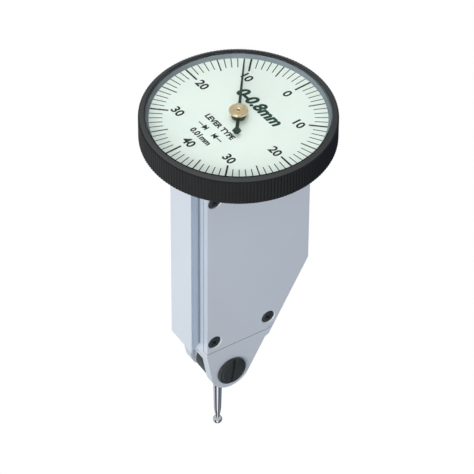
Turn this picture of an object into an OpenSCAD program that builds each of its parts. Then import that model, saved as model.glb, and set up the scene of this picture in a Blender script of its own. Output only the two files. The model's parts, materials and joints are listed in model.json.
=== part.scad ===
// Lever-type dial test indicator, upright form.
// Origin: centre of the dovetail rail's outer face. +X runs into the body,
// the cover plate is on the -Y side and +Z points to the dial. Millimetres.

/* [Body] */
// Thickness of the body from the cover's face to the back
body_t = 10.8; // [10.6:0.1:12]
// Distance from the rail's outer face to the body's left side
rail_h = 3.0; // [2.8:0.1:3.4]
// Width of the body below the head
body_w = 25.0; // [24.6:0.1:27]
// Height of the corner where the right side starts to slant
knee_z = -10.6; // [-12:0.1:-9]
// Slant of the right side, from vertical
slant = 28.3; // [27.8:0.1:28.8]
// Height of the cover plate's lower edge
seam_z = -26.8; // [-27.2:0.1:-26.6]
// Thickness of the cover plate
cover_t = 1.4; // [1.3:0.05:1.5]
// Thickness of the walls around the pocket
wall_t = 1.8; // [1.6:0.1:2]

/* [Dovetail rail] */
// Length of the rail
rail_len = 51.6; // [50:0.2:51.6]
// Width of the rail's outer face
rail_w = 8.0; // [7.6:0.1:8.4]
// Angle between the rail's flank and its outer face
rail_angle = 60; // [55:1:65]

/* [Pivot ears] */
// Distance of the lever's axis from the rail's outer face
pivot_x = 9.0; // [8.9:0.1:9.1]
// Height of the lever's axis
pivot_z = -34.5; // [-34.7:0.1:-34.3]
// Thickness of each ear
ear_t = 2.4; // [2.3:0.05:2.5]
// Radius of the ears' round ends
ear_r = 4.8; // [4.7:0.05:5]
// Taper of the ears' left edge, from vertical
ear_taper = 9.5; // [9:0.1:10]
// Depth of the step in the right side, above the ears
jog_z = -28.4; // [-28.8:0.1:-28]

/* [Stylus] */
// Length from the lever's axis to the centre of the contact ball
stylus_len = 20.0; // [19:0.1:21]
// Diameter of the contact ball
ball_d = 2.0; // [1:0.1:3]
// Radius of the stylus holder
holder_r = 4.5; // [4.3:0.05:4.5]

/* [Head] */
// Distance of the dial's axis from the rail's outer face
dial_x = 13.8; // [13.7:0.1:13.9]
// Height of the dial's printed face
dial_z = 31.0; // [31:0.1:31.2]
// Outer diameter of the bezel
bezel_d = 40.6; // [40.4:0.1:41]
// Radius of the dial that shows inside the bezel
dial_r = 18.1; // [18:0.05:18.2]
// Direction of the pointer at rest, from +X towards +Y
pointer_angle = 53.7; // [-180:0.1:180]

/* [Gear train] */
// Module of all the teeth
tooth_m = 0.2; // [0.2:0.01:0.2]
// Teeth that the sector would have as a whole wheel
sector_teeth = 120; // [120:2:120]
// Teeth of the crown wheel's pinion
crown_pinion_teeth = 12; // [12:2:12]
// Teeth of the crown wheel
crown_teeth = 48; // [48:2:48]
// Teeth of the pointer's pinion
centre_teeth = 16; // [16:2:16]

/* [Hidden] */
$fn = 72;

// Overlap that makes a cut pass cleanly through a face
cut = 0.5;

// Body
body_x0 = rail_h;
body_x1 = rail_h + body_w;
front_y = -body_t / 2;
back_y = body_t / 2;
cover_y = front_y + cover_t;
pocket_back_y = 4.0;
head_z = dial_z - 4.7;
ear_y = body_t / 2 - ear_t;
gap_top_z = pivot_z + 4.5;
drum_room_r = holder_r + 0.25;
pocket_bottom_z = -20.5;
pocket_top_z = 22.3;
jog_h = 0.5;
cover_gap = 0.02;
passage_x0 = 7.4;
passage_x1 = 13.4;
passage_y0 = 1.5;
passage_y1 = 3.0;
witness_slit = [1.3, 0.5];

// Fasteners: [x, z] of the cover's screws
cover_screw_at = [[4.9, 16.4], [4.9, -24.0], [18.2, -23.4], [25.4, 16.4]];
cover_head_r = 1.42;
cover_sink_r = 1.65;
cover_head_h = 0.8;
cover_shank_r = 0.6;
cover_shank_end_y = -1.5;
cover_corner_r = 2.6;
screw_boss_r = 2.2;
head_screw_at = [for (dx = [-8.5, 8.5], dy = [-2.2, 2.2]) [dial_x + dx, dy]];
head_screw_r = 0.8;
pivot_head_r = 3.4;
pivot_head_h = 0.9;
pivot_shank_r = 1.5;

// Head
bezel_r = bezel_d / 2;
bezel_z0 = dial_z - 4.9;
bezel_z1 = dial_z + 1.1;
bezel_top_z = dial_z + 1.55;
bezel_lip_r = 19.0;
bezel_lip_h = 0.3;
bezel_bore_r = 19.3;
skirt_bore_r = 18.3;
ledge_r = 17.4;
ledge_z = dial_z - 0.4;
ledge_h = 1.2;
plate_r = 18.1;
plate_top_z = dial_z - 1.8;
wire_r = 0.35;
wire_z = bezel_z0 + 1.2;
wire_ring_r = 18.2;
o_ring_r = 0.4;
o_ring_z = plate_top_z - 0.7;
o_ring_ring_r = 17.83;

// Crystal and the ring below it: heights above the dial
ring_h = 0.8;
ring_top_r = 18.8;
crystal_rim_r = bezel_bore_r - 0.2;
crystal_inner_r = 18.7;
crystal_t = 0.5;
crystal_edge_h = 1.15;
crystal_rise = 1.45;
crystal_sphere_r = (pow(crystal_inner_r, 2) + pow(crystal_rise, 2)) / (2 * crystal_rise);
crystal_centre_z = dial_z + crystal_edge_h + crystal_rise - crystal_sphere_r;
lip_under_z = bezel_top_z - bezel_lip_h;

// Pointer: heights above the dial
pointer_z = dial_z + 0.95;
pointer_t = 0.15;
hub_top_z = dial_z + 2.3;

// Gear train: pitch radii and axes, [x, z] for those that lie along Y
sector_r = sector_teeth * tooth_m / 2;
crown_pinion_r = crown_pinion_teeth * tooth_m / 2;
crown_r = crown_teeth * tooth_m / 2;
centre_r = centre_teeth * tooth_m / 2;
lever_at = [pivot_x, pivot_z];
sector_at = [dial_x, 2.0];
crown_at = [dial_x, sector_at[1] + sector_r + crown_pinion_r];
mesh_z = crown_at[1] + crown_r;
line_of_centres = sector_at - lever_at;
centres = norm(line_of_centres);
lever_ratio = 5.25;
lever_len = centres * lever_ratio / (1 + lever_ratio);
lever_lean = atan2(line_of_centres[0], line_of_centres[1]);
pin_at = lever_at + line_of_centres * lever_len / centres;
pin_r = 0.4;
pin_play = 0.03;

// Movement frame
plate_t = 0.8;
front_plate_y = -3.7;
rear_plate_y = pocket_back_y - plate_t;
frame_x0 = dial_x - 6.5;
frame_x1 = dial_x + 6.5;
frame_z0 = -2.0;
frame_z1 = 21.8;
pillar_at = [for (dx = [-5.5, 5.5], z = [frame_z0 + 1.1, frame_z1 - 1.0]) [dial_x + dx, z]];
pillar_r = 0.9;
frame_screw_at = [for (dx = [-5.5, 5.5], z = [7.0]) [dial_x + dx, z]];
jewel_r = 0.8;
jewel_bore_r = 0.22;
pivot_r = 0.2;
shaft_r = 0.45;
shaft_y0 = front_plate_y + plate_t + 0.1;
shaft_y1 = rear_plate_y - 0.1;
sector_y0 = -1.9;
sector_y1 = -1.3;
bridge_z0 = crown_at[1] + 1.8;
bridge_z1 = bridge_z0 + 1.0;
arbor_r = 0.5;
arbor_top_r = 0.3;
arbor_top_z = hub_top_z - 0.35;
arbor_jewel_z = head_z + 1.2;

// Lever, and the stylus holder's drum beside it on the same axle
hub_r = 4.2;
hub_y0 = 1.75;
hub_y1 = 2.75;
arm_w = 1.8;
axle_r = 1.2;
axle_y = 2.75;
cone_tip_y = 2.15;
drum_y0 = -2.6;
drum_y1 = 1.45;
washer_r = 2.3;
washer_gap = 0.04;
thread_r = 0.7;
thread_top = 3.0;
shank_top_r = 1.0;
shank_low_r = 0.78;
shank_neck_r = 0.5;
ball_z = pivot_z - stylus_len;
// Flat on the ball where the neck meets it, from the lever's axis
ball_flat_z = -stylus_len + sqrt(pow(ball_d / 2, 2) - pow(shank_neck_r, 2));

// Spreads a drawing in the X-Z plane from y0 to y1
module slab(y0, y1) {
    translate([0, y1, 0]) rotate([90, 0, 0]) linear_extrude(y1 - y0) children();
}

// Places children, drawn about the Z axis, with their axis along Y at [x, z]
module on_y(at) {
    translate([at[0], 0, at[1]]) rotate([90, 0, 0]) mirror([0, 0, 1]) children();
}

// Cylinder along Y from y0 to y1
module rod_y(at, r, y0, y1) {
    on_y(at) translate([0, 0, y0]) cylinder(r = r, h = y1 - y0);
}

// Solid turned about the dial's axis from [r, z] points
module turned(points) {
    translate([dial_x, 0, 0]) rotate_extrude() polygon(points);
}

// Round wire ring about the dial's axis
module wire_ring(ring_r, section_r, z) {
    translate([dial_x, 0, z]) rotate_extrude() translate([ring_r, 0]) circle(section_r);
}

function polar(r, a) = [r * sin(a), r * cos(a)];

// Outline of straight-sided teeth, 4 points a tooth, from tooth number k0 to k1,
// with a tooth centred on +Y when shift is 0 and a gap there when it is 0.5
function tooth_points(count, root_r, tip_r, root_w, tip_w, k0, k1, shift) = [
    for (k = [k0:k1], s = [-1, 1], p = (s < 0 ? [0, 1] : [1, 0]))
        let (a = 360 / count * (k + shift), r = p == 0 ? root_r : tip_r, w = p == 0 ? root_w : tip_w)
            polar(r, a + s * w / r * 90 / PI)
];

module gear_outline(count, pitch_r, shift) {
    polygon(tooth_points(count, pitch_r - 0.24, pitch_r + 0.17, 0.25, 0.12, 0, count - 1, shift));
}

// X at height z on the line that slants down the right side
function slant_x(z) = body_x1 - (knee_z - z) * tan(slant);

// X at height z on the ears' right edge, which touches their round ends
function ear_right_x(z) = pivot_x + (ear_r + sin(slant) * (z - pivot_z)) / cos(slant);

// Height at which the ears' left edge meets the body's left side
ear_left_z = pivot_z + (body_x0 - pivot_x) / -tan(ear_taper) - ear_r / sin(ear_taper);

// ---------- Fixed body ----------

module body_outline() {
    polygon([
        [body_x0, head_z], [body_x1, head_z], [body_x1, knee_z],
        [slant_x(jog_z), jog_z], [ear_right_x(jog_z - jog_h), jog_z - jog_h],
        [pivot_x + ear_r * cos(slant), pivot_z - ear_r * sin(slant)],
        [pivot_x, pivot_z],
        [pivot_x - ear_r * cos(ear_taper), pivot_z - ear_r * sin(ear_taper)],
        [body_x0, ear_left_z]
    ]);
    translate(lever_at) circle(ear_r);
}

// Blank of the cover plate from y0 to y1, with its lower right corner round
module cover_blank(y0, y1, grow = 0) {
    corner = [slant_x(seam_z + cover_corner_r) - cover_corner_r / cos(slant), seam_z + cover_corner_r];
    slab(y0, y1) polygon([
        [body_x0 - grow, head_z], [body_x1 + grow, head_z], [body_x1 + grow, knee_z],
        corner + [cos(slant), -sin(slant)] * (cover_corner_r + grow), corner,
        [corner[0], seam_z - grow], [body_x0 - grow, seam_z - grow]
    ]);
    rod_y(corner, cover_corner_r + grow, y0, y1);
}

module pocket_outline() {
    difference() {
        polygon([
            [body_x0 + wall_t, pocket_top_z], [body_x1 - wall_t, pocket_top_z],
            [body_x1 - wall_t, knee_z - 0.5],
            [slant_x(pocket_bottom_z) - wall_t - 0.4, pocket_bottom_z],
            [body_x0 + wall_t, pocket_bottom_z]
        ]);
        for (p = cover_screw_at) translate(p) circle(screw_boss_r);
    }
}

module rail() {
    flank = rail_h / tan(rail_angle);
    translate([0, 0, -rail_len / 2]) linear_extrude(rail_len)
        polygon([
            [0, -rail_w / 2], [rail_h, -rail_w / 2 + flank],
            [rail_h + cut, -rail_w / 2 + flank], [rail_h + cut, rail_w / 2 - flank],
            [rail_h, rail_w / 2 - flank], [0, rail_w / 2]
        ]);
}

module housing() {
    color("silver") difference() {
        union() {
            slab(front_y, back_y) body_outline();
            rail();
        }
        // seat of the cover plate, open at the left, the top and the right
        cover_blank(front_y - cut, cover_y, cover_gap);
        slab(front_y - cut, cover_y) polygon([
            [body_x0 - cut, head_z + cut], [body_x1 + cut, head_z + cut], [body_x1 + cut, knee_z],
            [body_x1, knee_z], [body_x1 - wall_t, 0], [body_x0 + wall_t, 0],
            [body_x0 + wall_t, seam_z - cover_gap], [body_x0 - cut, seam_z - cover_gap]
        ]);
        // pocket for the movement, and the lever's way down to the stylus holder
        slab(cover_y - cut, pocket_back_y) pocket_outline();
        translate([passage_x0, passage_y0, gap_top_z - cut])
            cube([passage_x1 - passage_x0, passage_y1 - passage_y0, pocket_bottom_z - gap_top_z + 2 * cut]);
        // room between the ears
        translate([body_x0 - cut, -ear_y, pivot_z - ear_r - cut])
            cube([body_w, 2 * ear_y, gap_top_z - pivot_z + ear_r + cut]);
        rod_y(lever_at, drum_room_r, -ear_y, ear_y);
        rod_y(lever_at, pivot_shank_r, front_y - cut, back_y + cut);
        // tapped holes
        for (p = cover_screw_at) rod_y(p, cover_shank_r, cover_y - cut, cover_shank_end_y + 0.3);
        for (p = head_screw_at)
            translate([p[0], p[1], pocket_top_z - cut]) cylinder(r = head_screw_r, h = 5);
        for (p = frame_screw_at) rod_y(p, 0.4, pocket_back_y - cut, pocket_back_y + 1.0);
        // way up for the pointer's arbor
        translate([dial_x, 0, pocket_top_z - cut]) cylinder(r = 1.2, h = 5);
        // witness slit in the left side
        translate([body_x0 - cut, -0.9 - witness_slit[0] / 2, gap_top_z + 0.75])
            cube([cut + 0.6, witness_slit[0], witness_slit[1]]);
    }
}

module cover_plate() {
    color("silver") difference() {
        cover_blank(front_y, cover_y);
        for (p = cover_screw_at) {
            rod_y(p, cover_shank_r + 0.15, front_y - cut, cover_y + cut);
            on_y(p) translate([0, 0, front_y]) rotate_extrude()
                polygon([
                    [0, -cut], [cover_sink_r, -cut], [cover_sink_r, 0],
                    [cover_sink_r - 0.15, 0.2], [cover_sink_r - 0.15, cover_head_h], [0, cover_head_h]
                ]);
        }
    }
}

// Screw head with a cross recess, top at y0 and facing -Y
module cross_head(at, r, y0, h) {
    difference() {
        on_y(at) translate([0, 0, y0]) rotate_extrude()
            polygon([[0, 0], [r - 0.25, 0], [r, 0.25], [r, h], [0, h]]);
        for (a = [45, 135])
            translate([at[0], y0, at[1]]) rotate([0, a, 0]) cube([1.3, 0.8, 0.36], center = true);
    }
}

module cover_screws() {
    color("dimgray") for (p = cover_screw_at) {
        cross_head(p, cover_head_r, front_y, cover_head_h);
        rod_y(p, cover_shank_r, front_y + cover_head_h, cover_shank_end_y);
    }
}

// Slotted pivot screw in the front ear, with its cone towards +Y
module pivot_screw() {
    difference() {
        on_y(lever_at) rotate_extrude() polygon([
            [0, front_y - pivot_head_h], [pivot_head_r - 0.9, front_y - pivot_head_h],
            [pivot_head_r - 0.75, front_y - pivot_head_h + 0.15],
            [pivot_head_r - 0.3, front_y - pivot_head_h + 0.15],
            [pivot_head_r, front_y - pivot_head_h + 0.45], [pivot_head_r, front_y],
            [pivot_shank_r, front_y], [pivot_shank_r, -ear_y],
            [ear_y - cone_tip_y - 0.05, -ear_y], [0, -cone_tip_y - 0.05]
        ]);
        translate([pivot_x, front_y - pivot_head_h, pivot_z]) rotate([0, 8, 0])
            cube([0.7, 0.9, 2 * pivot_head_r + 1], center = true);
    }
}

module pivot_screws() {
    color("dimgray") {
        pivot_screw();
        mirror([0, 1, 0]) pivot_screw();
    }
}

// ---------- Head ----------

module head_plate() {
    color("darkgray") difference() {
        turned([
            [jewel_r, head_z], [plate_r - 0.4, head_z], [plate_r, head_z + 0.4],
            [plate_r, plate_top_z], [jewel_r, plate_top_z]
        ]);
        // groove of the snap wire
        turned([
            [wire_ring_r - wire_r - 0.12, wire_z - wire_r - 0.1], [plate_r + cut, wire_z - wire_r - 0.1],
            [plate_r + cut, wire_z + wire_r + 0.1], [wire_ring_r - wire_r - 0.12, wire_z + wire_r + 0.1]
        ]);
        // groove of the friction ring
        turned([
            [o_ring_ring_r - o_ring_r, o_ring_z - 0.42], [plate_r + cut, o_ring_z - 0.42],
            [plate_r + cut, o_ring_z + 0.42], [o_ring_ring_r - o_ring_r, o_ring_z + 0.42]
        ]);
        for (p = head_screw_at) {
            translate([p[0], p[1], head_z - cut]) cylinder(r = head_screw_r, h = 5);
            translate([p[0], p[1], plate_top_z - 1.2]) cylinder(r = 1.6, h = 3);
        }
        // hole of the hairspring's stud
        translate([dial_x + 5.3, 0, plate_top_z - 0.8]) cylinder(r = 0.35, h = 2);
    }
}

module head_screws() {
    color("dimgray") for (p = head_screw_at) difference() {
        union() {
            translate([p[0], p[1], plate_top_z - 1.2]) cylinder(r = 1.5, h = 1.1);
            translate([p[0], p[1], pocket_top_z + 0.4])
                cylinder(r = head_screw_r, h = plate_top_z - 1.2 - pocket_top_z - 0.4);
        }
        translate([p[0], p[1], plate_top_z]) cube([4, 0.5, 1], center = true);
    }
}

module bezel_o_ring() {
    color("black") wire_ring(o_ring_ring_r, o_ring_r, o_ring_z);
}

module bezel_ring() {
    color("dimgray") difference() {
        turned([
            [skirt_bore_r, bezel_z0], [bezel_r - 0.4, bezel_z0], [bezel_r, bezel_z0 + 0.4],
            [bezel_r, bezel_z1], [bezel_lip_r, bezel_top_z], [bezel_lip_r, lip_under_z],
            [bezel_bore_r, lip_under_z], [bezel_bore_r, ledge_z], [ledge_r, ledge_z],
            [ledge_r, ledge_z - ledge_h], [skirt_bore_r, ledge_z - ledge_h]
        ]);
        turned([
            [skirt_bore_r - cut, wire_z - wire_r - 0.05], [wire_ring_r + wire_r + 0.05, wire_z - wire_r - 0.05],
            [wire_ring_r + wire_r + 0.05, wire_z + wire_r + 0.05], [skirt_bore_r - cut, wire_z + wire_r + 0.05]
        ]);
    }
}

module snap_wire() {
    color("silver") wire_ring(wire_ring_r, wire_r, wire_z);
}

module dial_plate() {
    color("honeydew") turned([
        [1.0, ledge_z], [bezel_bore_r - 0.05, ledge_z], [bezel_bore_r - 0.05, dial_z], [1.0, dial_z]
    ]);
}

module dial_ring() {
    color("slategray") turned([
        [dial_r, dial_z], [bezel_bore_r - 0.05, dial_z], [bezel_bore_r - 0.05, dial_z + ring_h],
        [ring_top_r, dial_z + ring_h]
    ]);
}

module crystal_gasket() {
    color("black") turned([
        [crystal_rim_r, dial_z + ring_h], [bezel_bore_r, dial_z + ring_h],
        [bezel_bore_r, lip_under_z], [crystal_rim_r, lip_under_z]
    ]);
}

// Domed crystal: a flat rim under the bezel's lip, and a shell between two spheres
module crystal() {
    color("aliceblue", 0.3) difference() {
        union() {
            turned([
                [0, dial_z + ring_h], [crystal_rim_r, dial_z + ring_h],
                [crystal_rim_r, lip_under_z], [0, lip_under_z]
            ]);
            intersection() {
                translate([dial_x, 0, crystal_centre_z]) sphere(r = crystal_sphere_r + crystal_t, $fn = 180);
                translate([dial_x, 0, dial_z + 1.2]) cylinder(r = bezel_lip_r - 0.1, h = 5, $fn = 180);
            }
        }
        intersection() {
            translate([dial_x, 0, crystal_centre_z]) sphere(r = crystal_sphere_r, $fn = 180);
            translate([dial_x, 0, dial_z]) cylinder(r = crystal_inner_r, h = 8, $fn = 180);
        }
    }
}

// ---------- Movement ----------

module frame_outline() {
    difference() {
        translate([frame_x0, frame_z0]) square([frame_x1 - frame_x0, frame_z1 - frame_z0]);
        for (x = [frame_x0, frame_x1]) translate([x, 11.5]) circle(2.6);
    }
}

module rear_movement_plate() {
    color("goldenrod") difference() {
        slab(rear_plate_y, rear_plate_y + plate_t) frame_outline();
        for (p = [sector_at, crown_at]) rod_y(p, jewel_r, rear_plate_y - cut, pocket_back_y + cut);
        for (p = frame_screw_at) rod_y(p, 0.4, rear_plate_y - cut, pocket_back_y + cut);
    }
}

module front_movement_plate() {
    y1 = front_plate_y + plate_t;
    color("goldenrod") difference() {
        slab(front_plate_y, y1) frame_outline();
        for (p = [sector_at, crown_at]) rod_y(p, jewel_r, front_plate_y - cut, y1 + cut);
        for (p = pillar_at) {
            rod_y(p, 0.35, front_plate_y - cut, y1 + cut);
            rod_y(p, 0.7, front_plate_y - cut, front_plate_y + 0.4);
        }
        for (dx = [-1.6, 1.6]) {
            rod_y([dial_x + dx, bridge_z1 + 0.9], 0.3, front_plate_y - cut, y1 + cut);
            rod_y([dial_x + dx, bridge_z1 + 0.9], 0.6, front_plate_y - cut, front_plate_y + 0.3);
        }
    }
}

module movement_pillars() {
    color("gold") for (p = pillar_at) difference() {
        rod_y(p, pillar_r, front_plate_y + plate_t, rear_plate_y);
        rod_y(p, 0.35, front_plate_y, front_plate_y + plate_t + 1.5);
    }
}

// Small cheese-head screw with a slot, head top at y0
module small_screw(at, head_r, y0, head_h, shank_r, shank_y) {
    difference() {
        rod_y(at, head_r, y0, y0 + head_h);
        translate([at[0], y0, at[1]]) cube([3 * head_r, 0.3, 0.2], center = true);
    }
    rod_y(at, shank_r, y0 + head_h, shank_y);
}

module movement_screws() {
    color("lightsteelblue") for (p = pillar_at)
        small_screw(p, 0.65, front_plate_y, 0.4, 0.35, front_plate_y + plate_t + 1.3);
}

module frame_screws() {
    color("lightsteelblue") for (p = frame_screw_at)
        small_screw(p, 0.8, rear_plate_y - 0.4, 0.4, 0.4, pocket_back_y + 0.9);
}

module arbor_bridge() {
    y0 = front_plate_y + plate_t;
    color("goldenrod") difference() {
        union() {
            translate([dial_x - 1.4, y0, bridge_z0]) cube([2.8, 0.9 - y0, bridge_z1 - bridge_z0]);
            translate([dial_x - 2.4, y0, bridge_z0]) cube([4.8, 0.8, bridge_z1 - bridge_z0 + 1.7]);
        }
        translate([dial_x, 0, bridge_z0 - cut]) cylinder(r = 0.6, h = 3);
        for (dx = [-1.6, 1.6]) rod_y([dial_x + dx, bridge_z1 + 0.9], 0.3, y0 - cut, y0 + 0.8 + cut);
    }
}

module bridge_screws() {
    color("lightsteelblue") for (dx = [-1.6, 1.6])
        small_screw([dial_x + dx, bridge_z1 + 0.9], 0.55, front_plate_y, 0.3, 0.3, front_plate_y + 1.5);
}

// Pair of ring jewels in the two plates
module plate_jewels(at) {
    for (y = [front_plate_y, rear_plate_y]) difference() {
        rod_y(at, jewel_r, y, y + plate_t);
        rod_y(at, jewel_bore_r, y - cut, y + plate_t + cut);
    }
}

module sector_jewels() {
    color("crimson") plate_jewels(sector_at);
}

module crown_jewels() {
    color("crimson") plate_jewels(crown_at);
}

module arbor_jewels() {
    color("crimson") {
        turned([
            [jewel_bore_r, bridge_z0], [0.6, bridge_z0], [0.6, bridge_z1], [jewel_bore_r, bridge_z1]
        ]);
        turned([
            [arbor_top_r + 0.03, arbor_jewel_z], [jewel_r, arbor_jewel_z],
            [jewel_r, arbor_jewel_z + 1.0], [arbor_top_r + 0.03, arbor_jewel_z + 1.0]
        ]);
    }
}

// Flat spiral, wound from r0 to r1
module hairspring() {
    turns = 6;
    steps = 24;
    r0 = 1.2;
    r1 = 4.9;
    strip = 0.12;
    function spiral(k, side) = polar(r0 + (r1 - r0) * k / (turns * steps) + side * strip / 2, 90 + 360 * k / steps);
    color("steelblue") translate([dial_x, 0, dial_z - 1.6]) linear_extrude(0.6) polygon(concat(
        [for (k = [0:turns * steps]) spiral(k, -1)],
        [for (k = [turns * steps:-1:0]) spiral(k, 1)]
    ));
}

module hairspring_stud() {
    color("silver") translate([dial_x + 5.3, 0, plate_top_z - 0.8]) cylinder(r = 0.35, h = 2.0);
}

// ---------- Pointer ----------

module pointer() {
    tip = 16.6;
    color("darkslategray") translate([dial_x, 0, pointer_z]) rotate(pointer_angle - 90) difference() {
        union() {
            cylinder(r = 1.45, h = pointer_t);
            linear_extrude(pointer_t) polygon([
                [-0.35, 0], [-0.15, tip], [0, tip + 0.15], [0.15, tip], [0.35, 0],
                [0.35, -4.0], [0.95, -5.0], [0.3, -6.0], [-0.3, -6.0], [-0.95, -5.0], [-0.35, -4.0]
            ]);
        }
        translate([0, 0, -cut]) cylinder(r = arbor_top_r, h = 2);
    }
}

module pointer_boss() {
    color("black") turned([
        [arbor_top_r, dial_z + 0.3], [1.45, dial_z + 0.3], [1.45, pointer_z], [arbor_top_r, pointer_z]
    ]);
}

module pointer_hub() {
    color("khaki") turned([
        [arbor_top_r, pointer_z + pointer_t], [1.3, pointer_z + pointer_t], [1.3, hub_top_z - 0.6],
        [1.95, hub_top_z - 0.55], [1.95, hub_top_z - 0.1], [1.85, hub_top_z],
        [0.42, hub_top_z], [arbor_top_r, hub_top_z - 0.2]
    ]);
}

module centre_arbor() {
    color("silver") turned([
        [0, bridge_z0 + 0.1], [pivot_r, bridge_z0 + 0.1], [pivot_r, bridge_z1 + 0.1],
        [arbor_r, bridge_z1 + 0.1], [arbor_r, arbor_jewel_z - 0.1],
        [arbor_top_r, arbor_jewel_z - 0.1], [arbor_top_r, arbor_top_z], [0, arbor_top_z]
    ]);
}

module centre_pinion() {
    color("gold") translate([dial_x, 0, mesh_z - 1.1]) linear_extrude(2.4) difference() {
        gear_outline(centre_teeth, centre_r, 0.5);
        circle(arbor_r);
    }
}

module hairspring_collet() {
    color("gold") turned([
        [arbor_top_r, dial_z - 1.6], [1.0, dial_z - 1.6], [1.0, dial_z - 0.9], [arbor_top_r, dial_z - 0.9]
    ]);
}

// ---------- Crown wheel ----------

module crown_wheel() {
    tip_y = centre_r - 0.15;
    disc_y = centre_r + 0.28;
    color("gold") union() {
        difference() {
            slab(disc_y, disc_y + 0.5) translate(crown_at) difference() {
                circle(crown_r + 0.25);
                circle(shaft_r);
            }
            for (a = [0:72:359])
                rod_y(crown_at + polar(2.7, a), 0.8, disc_y - cut, disc_y + 1);
        }
        // contrate teeth: one stands at the top, where it meets the pointer's pinion
        for (k = [0:crown_teeth - 1])
            on_y(crown_at) rotate(360 / crown_teeth * k) translate([crown_r - 0.45, 0, 0])
                rotate([90, 0, 90]) linear_extrude(0.7)
                    polygon([[-0.17, disc_y + 0.1], [0.17, disc_y + 0.1], [0.17, disc_y], [0.09, tip_y],
                        [-0.09, tip_y], [-0.17, disc_y]]);
    }
}

module crown_pinion() {
    color("gold") slab(-2.1, -1.1) translate(crown_at) difference() {
        rotate(180) gear_outline(crown_pinion_teeth, crown_pinion_r, 0.5);
        circle(shaft_r);
    }
}

// Shaft along Y with a fine pivot at each end
module pivoted_shaft(at) {
    rod_y(at, shaft_r, shaft_y0, shaft_y1);
    rod_y(at, pivot_r, front_plate_y + 0.1, shaft_y0);
    rod_y(at, pivot_r, shaft_y1, pocket_back_y - 0.1);
}

module crown_shaft() {
    color("silver") pivoted_shaft(crown_at);
}

// ---------- Sector ----------

module sector_gear() {
    spread = 4;
    window = 8;
    color("gold") difference() {
        union() {
            rod_y(sector_at, 1.7, sector_y0, sector_y1);
            slab(sector_y0, sector_y1) translate(sector_at) polygon(concat(
                [[-0.4, -0.4], [-0.4, 0.4]],
                tooth_points(sector_teeth, sector_r - 0.24, sector_r + 0.17, 0.27, 0.12, -spread, spread, 0),
                [[0.4, 0.4], [0.4, -0.4]]));
            slab(sector_y0, sector_y1) translate(sector_at) rotate(-lever_lean)
                translate([-1.5, -6.9]) square([3.0, 6.9]);
        }
        rod_y(sector_at, shaft_r, sector_y0 - cut, sector_y1 + cut);
        // window between the arms
        slab(sector_y0 - cut, sector_y1 + cut) translate(sector_at) polygon([
            polar(3.8, -window), polar(sector_r - 1.4, -window),
            polar(sector_r - 1.2, 0), polar(sector_r - 1.4, window), polar(3.8, window)
        ]);
        // fork that the lever's pin drives
        slab(sector_y0 - cut, sector_y1 + cut) translate(sector_at) rotate(-lever_lean)
            translate([-pin_r - pin_play, -8]) square([2 * (pin_r + pin_play), 3.2]);
    }
}

module sector_shaft() {
    color("silver") {
        pivoted_shaft(sector_at);
    }
}

// ---------- Lever ----------

module lever_arm() {
    color("silver") slab(hub_y0, hub_y1) difference() {
        union() {
            translate(lever_at) circle(hub_r);
            translate(lever_at) rotate(-lever_lean) polygon([
                [-arm_w / 2, 0], [arm_w / 2, 0], [0.7, lever_len], [-0.7, lever_len]
            ]);
            translate(pin_at) circle(0.9);
        }
        translate(lever_at) circle(axle_r);
        translate(pin_at) circle(pin_r);
    }
}

module lever_axle() {
    color("silver") on_y(lever_at) rotate_extrude() polygon([
        [0, -cone_tip_y], [axle_y - cone_tip_y, -axle_y], [axle_r, -axle_y],
        [axle_r, axle_y], [axle_y - cone_tip_y, axle_y], [0, cone_tip_y]
    ]);
}

module lever_pin() {
    color("silver") rod_y(pin_at, pin_r, sector_y0 - 0.2, hub_y1);
}

// Washers on both sides of the drum
module clutch_washers() {
    color("gainsboro") difference() {
        union() {
            rod_y(lever_at, washer_r, drum_y0 - 0.2, drum_y0 - washer_gap);
            rod_y(lever_at, washer_r, drum_y1 + washer_gap, hub_y0 - washer_gap);
        }
        rod_y(lever_at, axle_r, -ear_y, ear_y);
    }
}

// ---------- Stylus ----------

module stylus_holder() {
    color("dimgray") difference() {
        rod_y(lever_at, holder_r, drum_y0, drum_y1);
        rod_y(lever_at, axle_r + 0.05, -ear_y, ear_y);
        translate([pivot_x, 0, pivot_z - holder_r - cut]) cylinder(r = thread_r, h = holder_r + cut - thread_top + 0.3);
    }
}

module stylus_shank() {
    top = holder_r + 0.05;
    color("gainsboro") translate([pivot_x, 0, pivot_z]) rotate_extrude() polygon([
        [0, -thread_top], [thread_r, -thread_top], [thread_r, -top], [shank_top_r, -top],
        [shank_top_r, -top - 1.2], [shank_low_r, -stylus_len + 3.4], [shank_neck_r, -stylus_len + 2.6],
        [shank_neck_r, ball_flat_z], [0, ball_flat_z]
    ]);
}

module stylus_ball() {
    color("white") difference() {
        translate([pivot_x, 0, ball_z]) sphere(d = ball_d);
        translate([pivot_x - ball_d, -ball_d, pivot_z + ball_flat_z]) cube(2 * ball_d);
    }
}

housing();
cover_plate();
cover_screws();
pivot_screws();
head_plate();
head_screws();
bezel_o_ring();
rear_movement_plate();
front_movement_plate();
movement_pillars();
movement_screws();
frame_screws();
arbor_bridge();
bridge_screws();
sector_jewels();
crown_jewels();
arbor_jewels();
hairspring();
hairspring_stud();
bezel_ring();
snap_wire();
dial_plate();
dial_ring();
crystal_gasket();
crystal();
pointer();
pointer_boss();
pointer_hub();
centre_arbor();
centre_pinion();
hairspring_collet();
crown_wheel();
crown_pinion();
crown_shaft();
sector_gear();
sector_shaft();
lever_arm();
lever_axle();
lever_pin();
clutch_washers();
stylus_holder();
stylus_shank();
stylus_ball();
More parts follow.
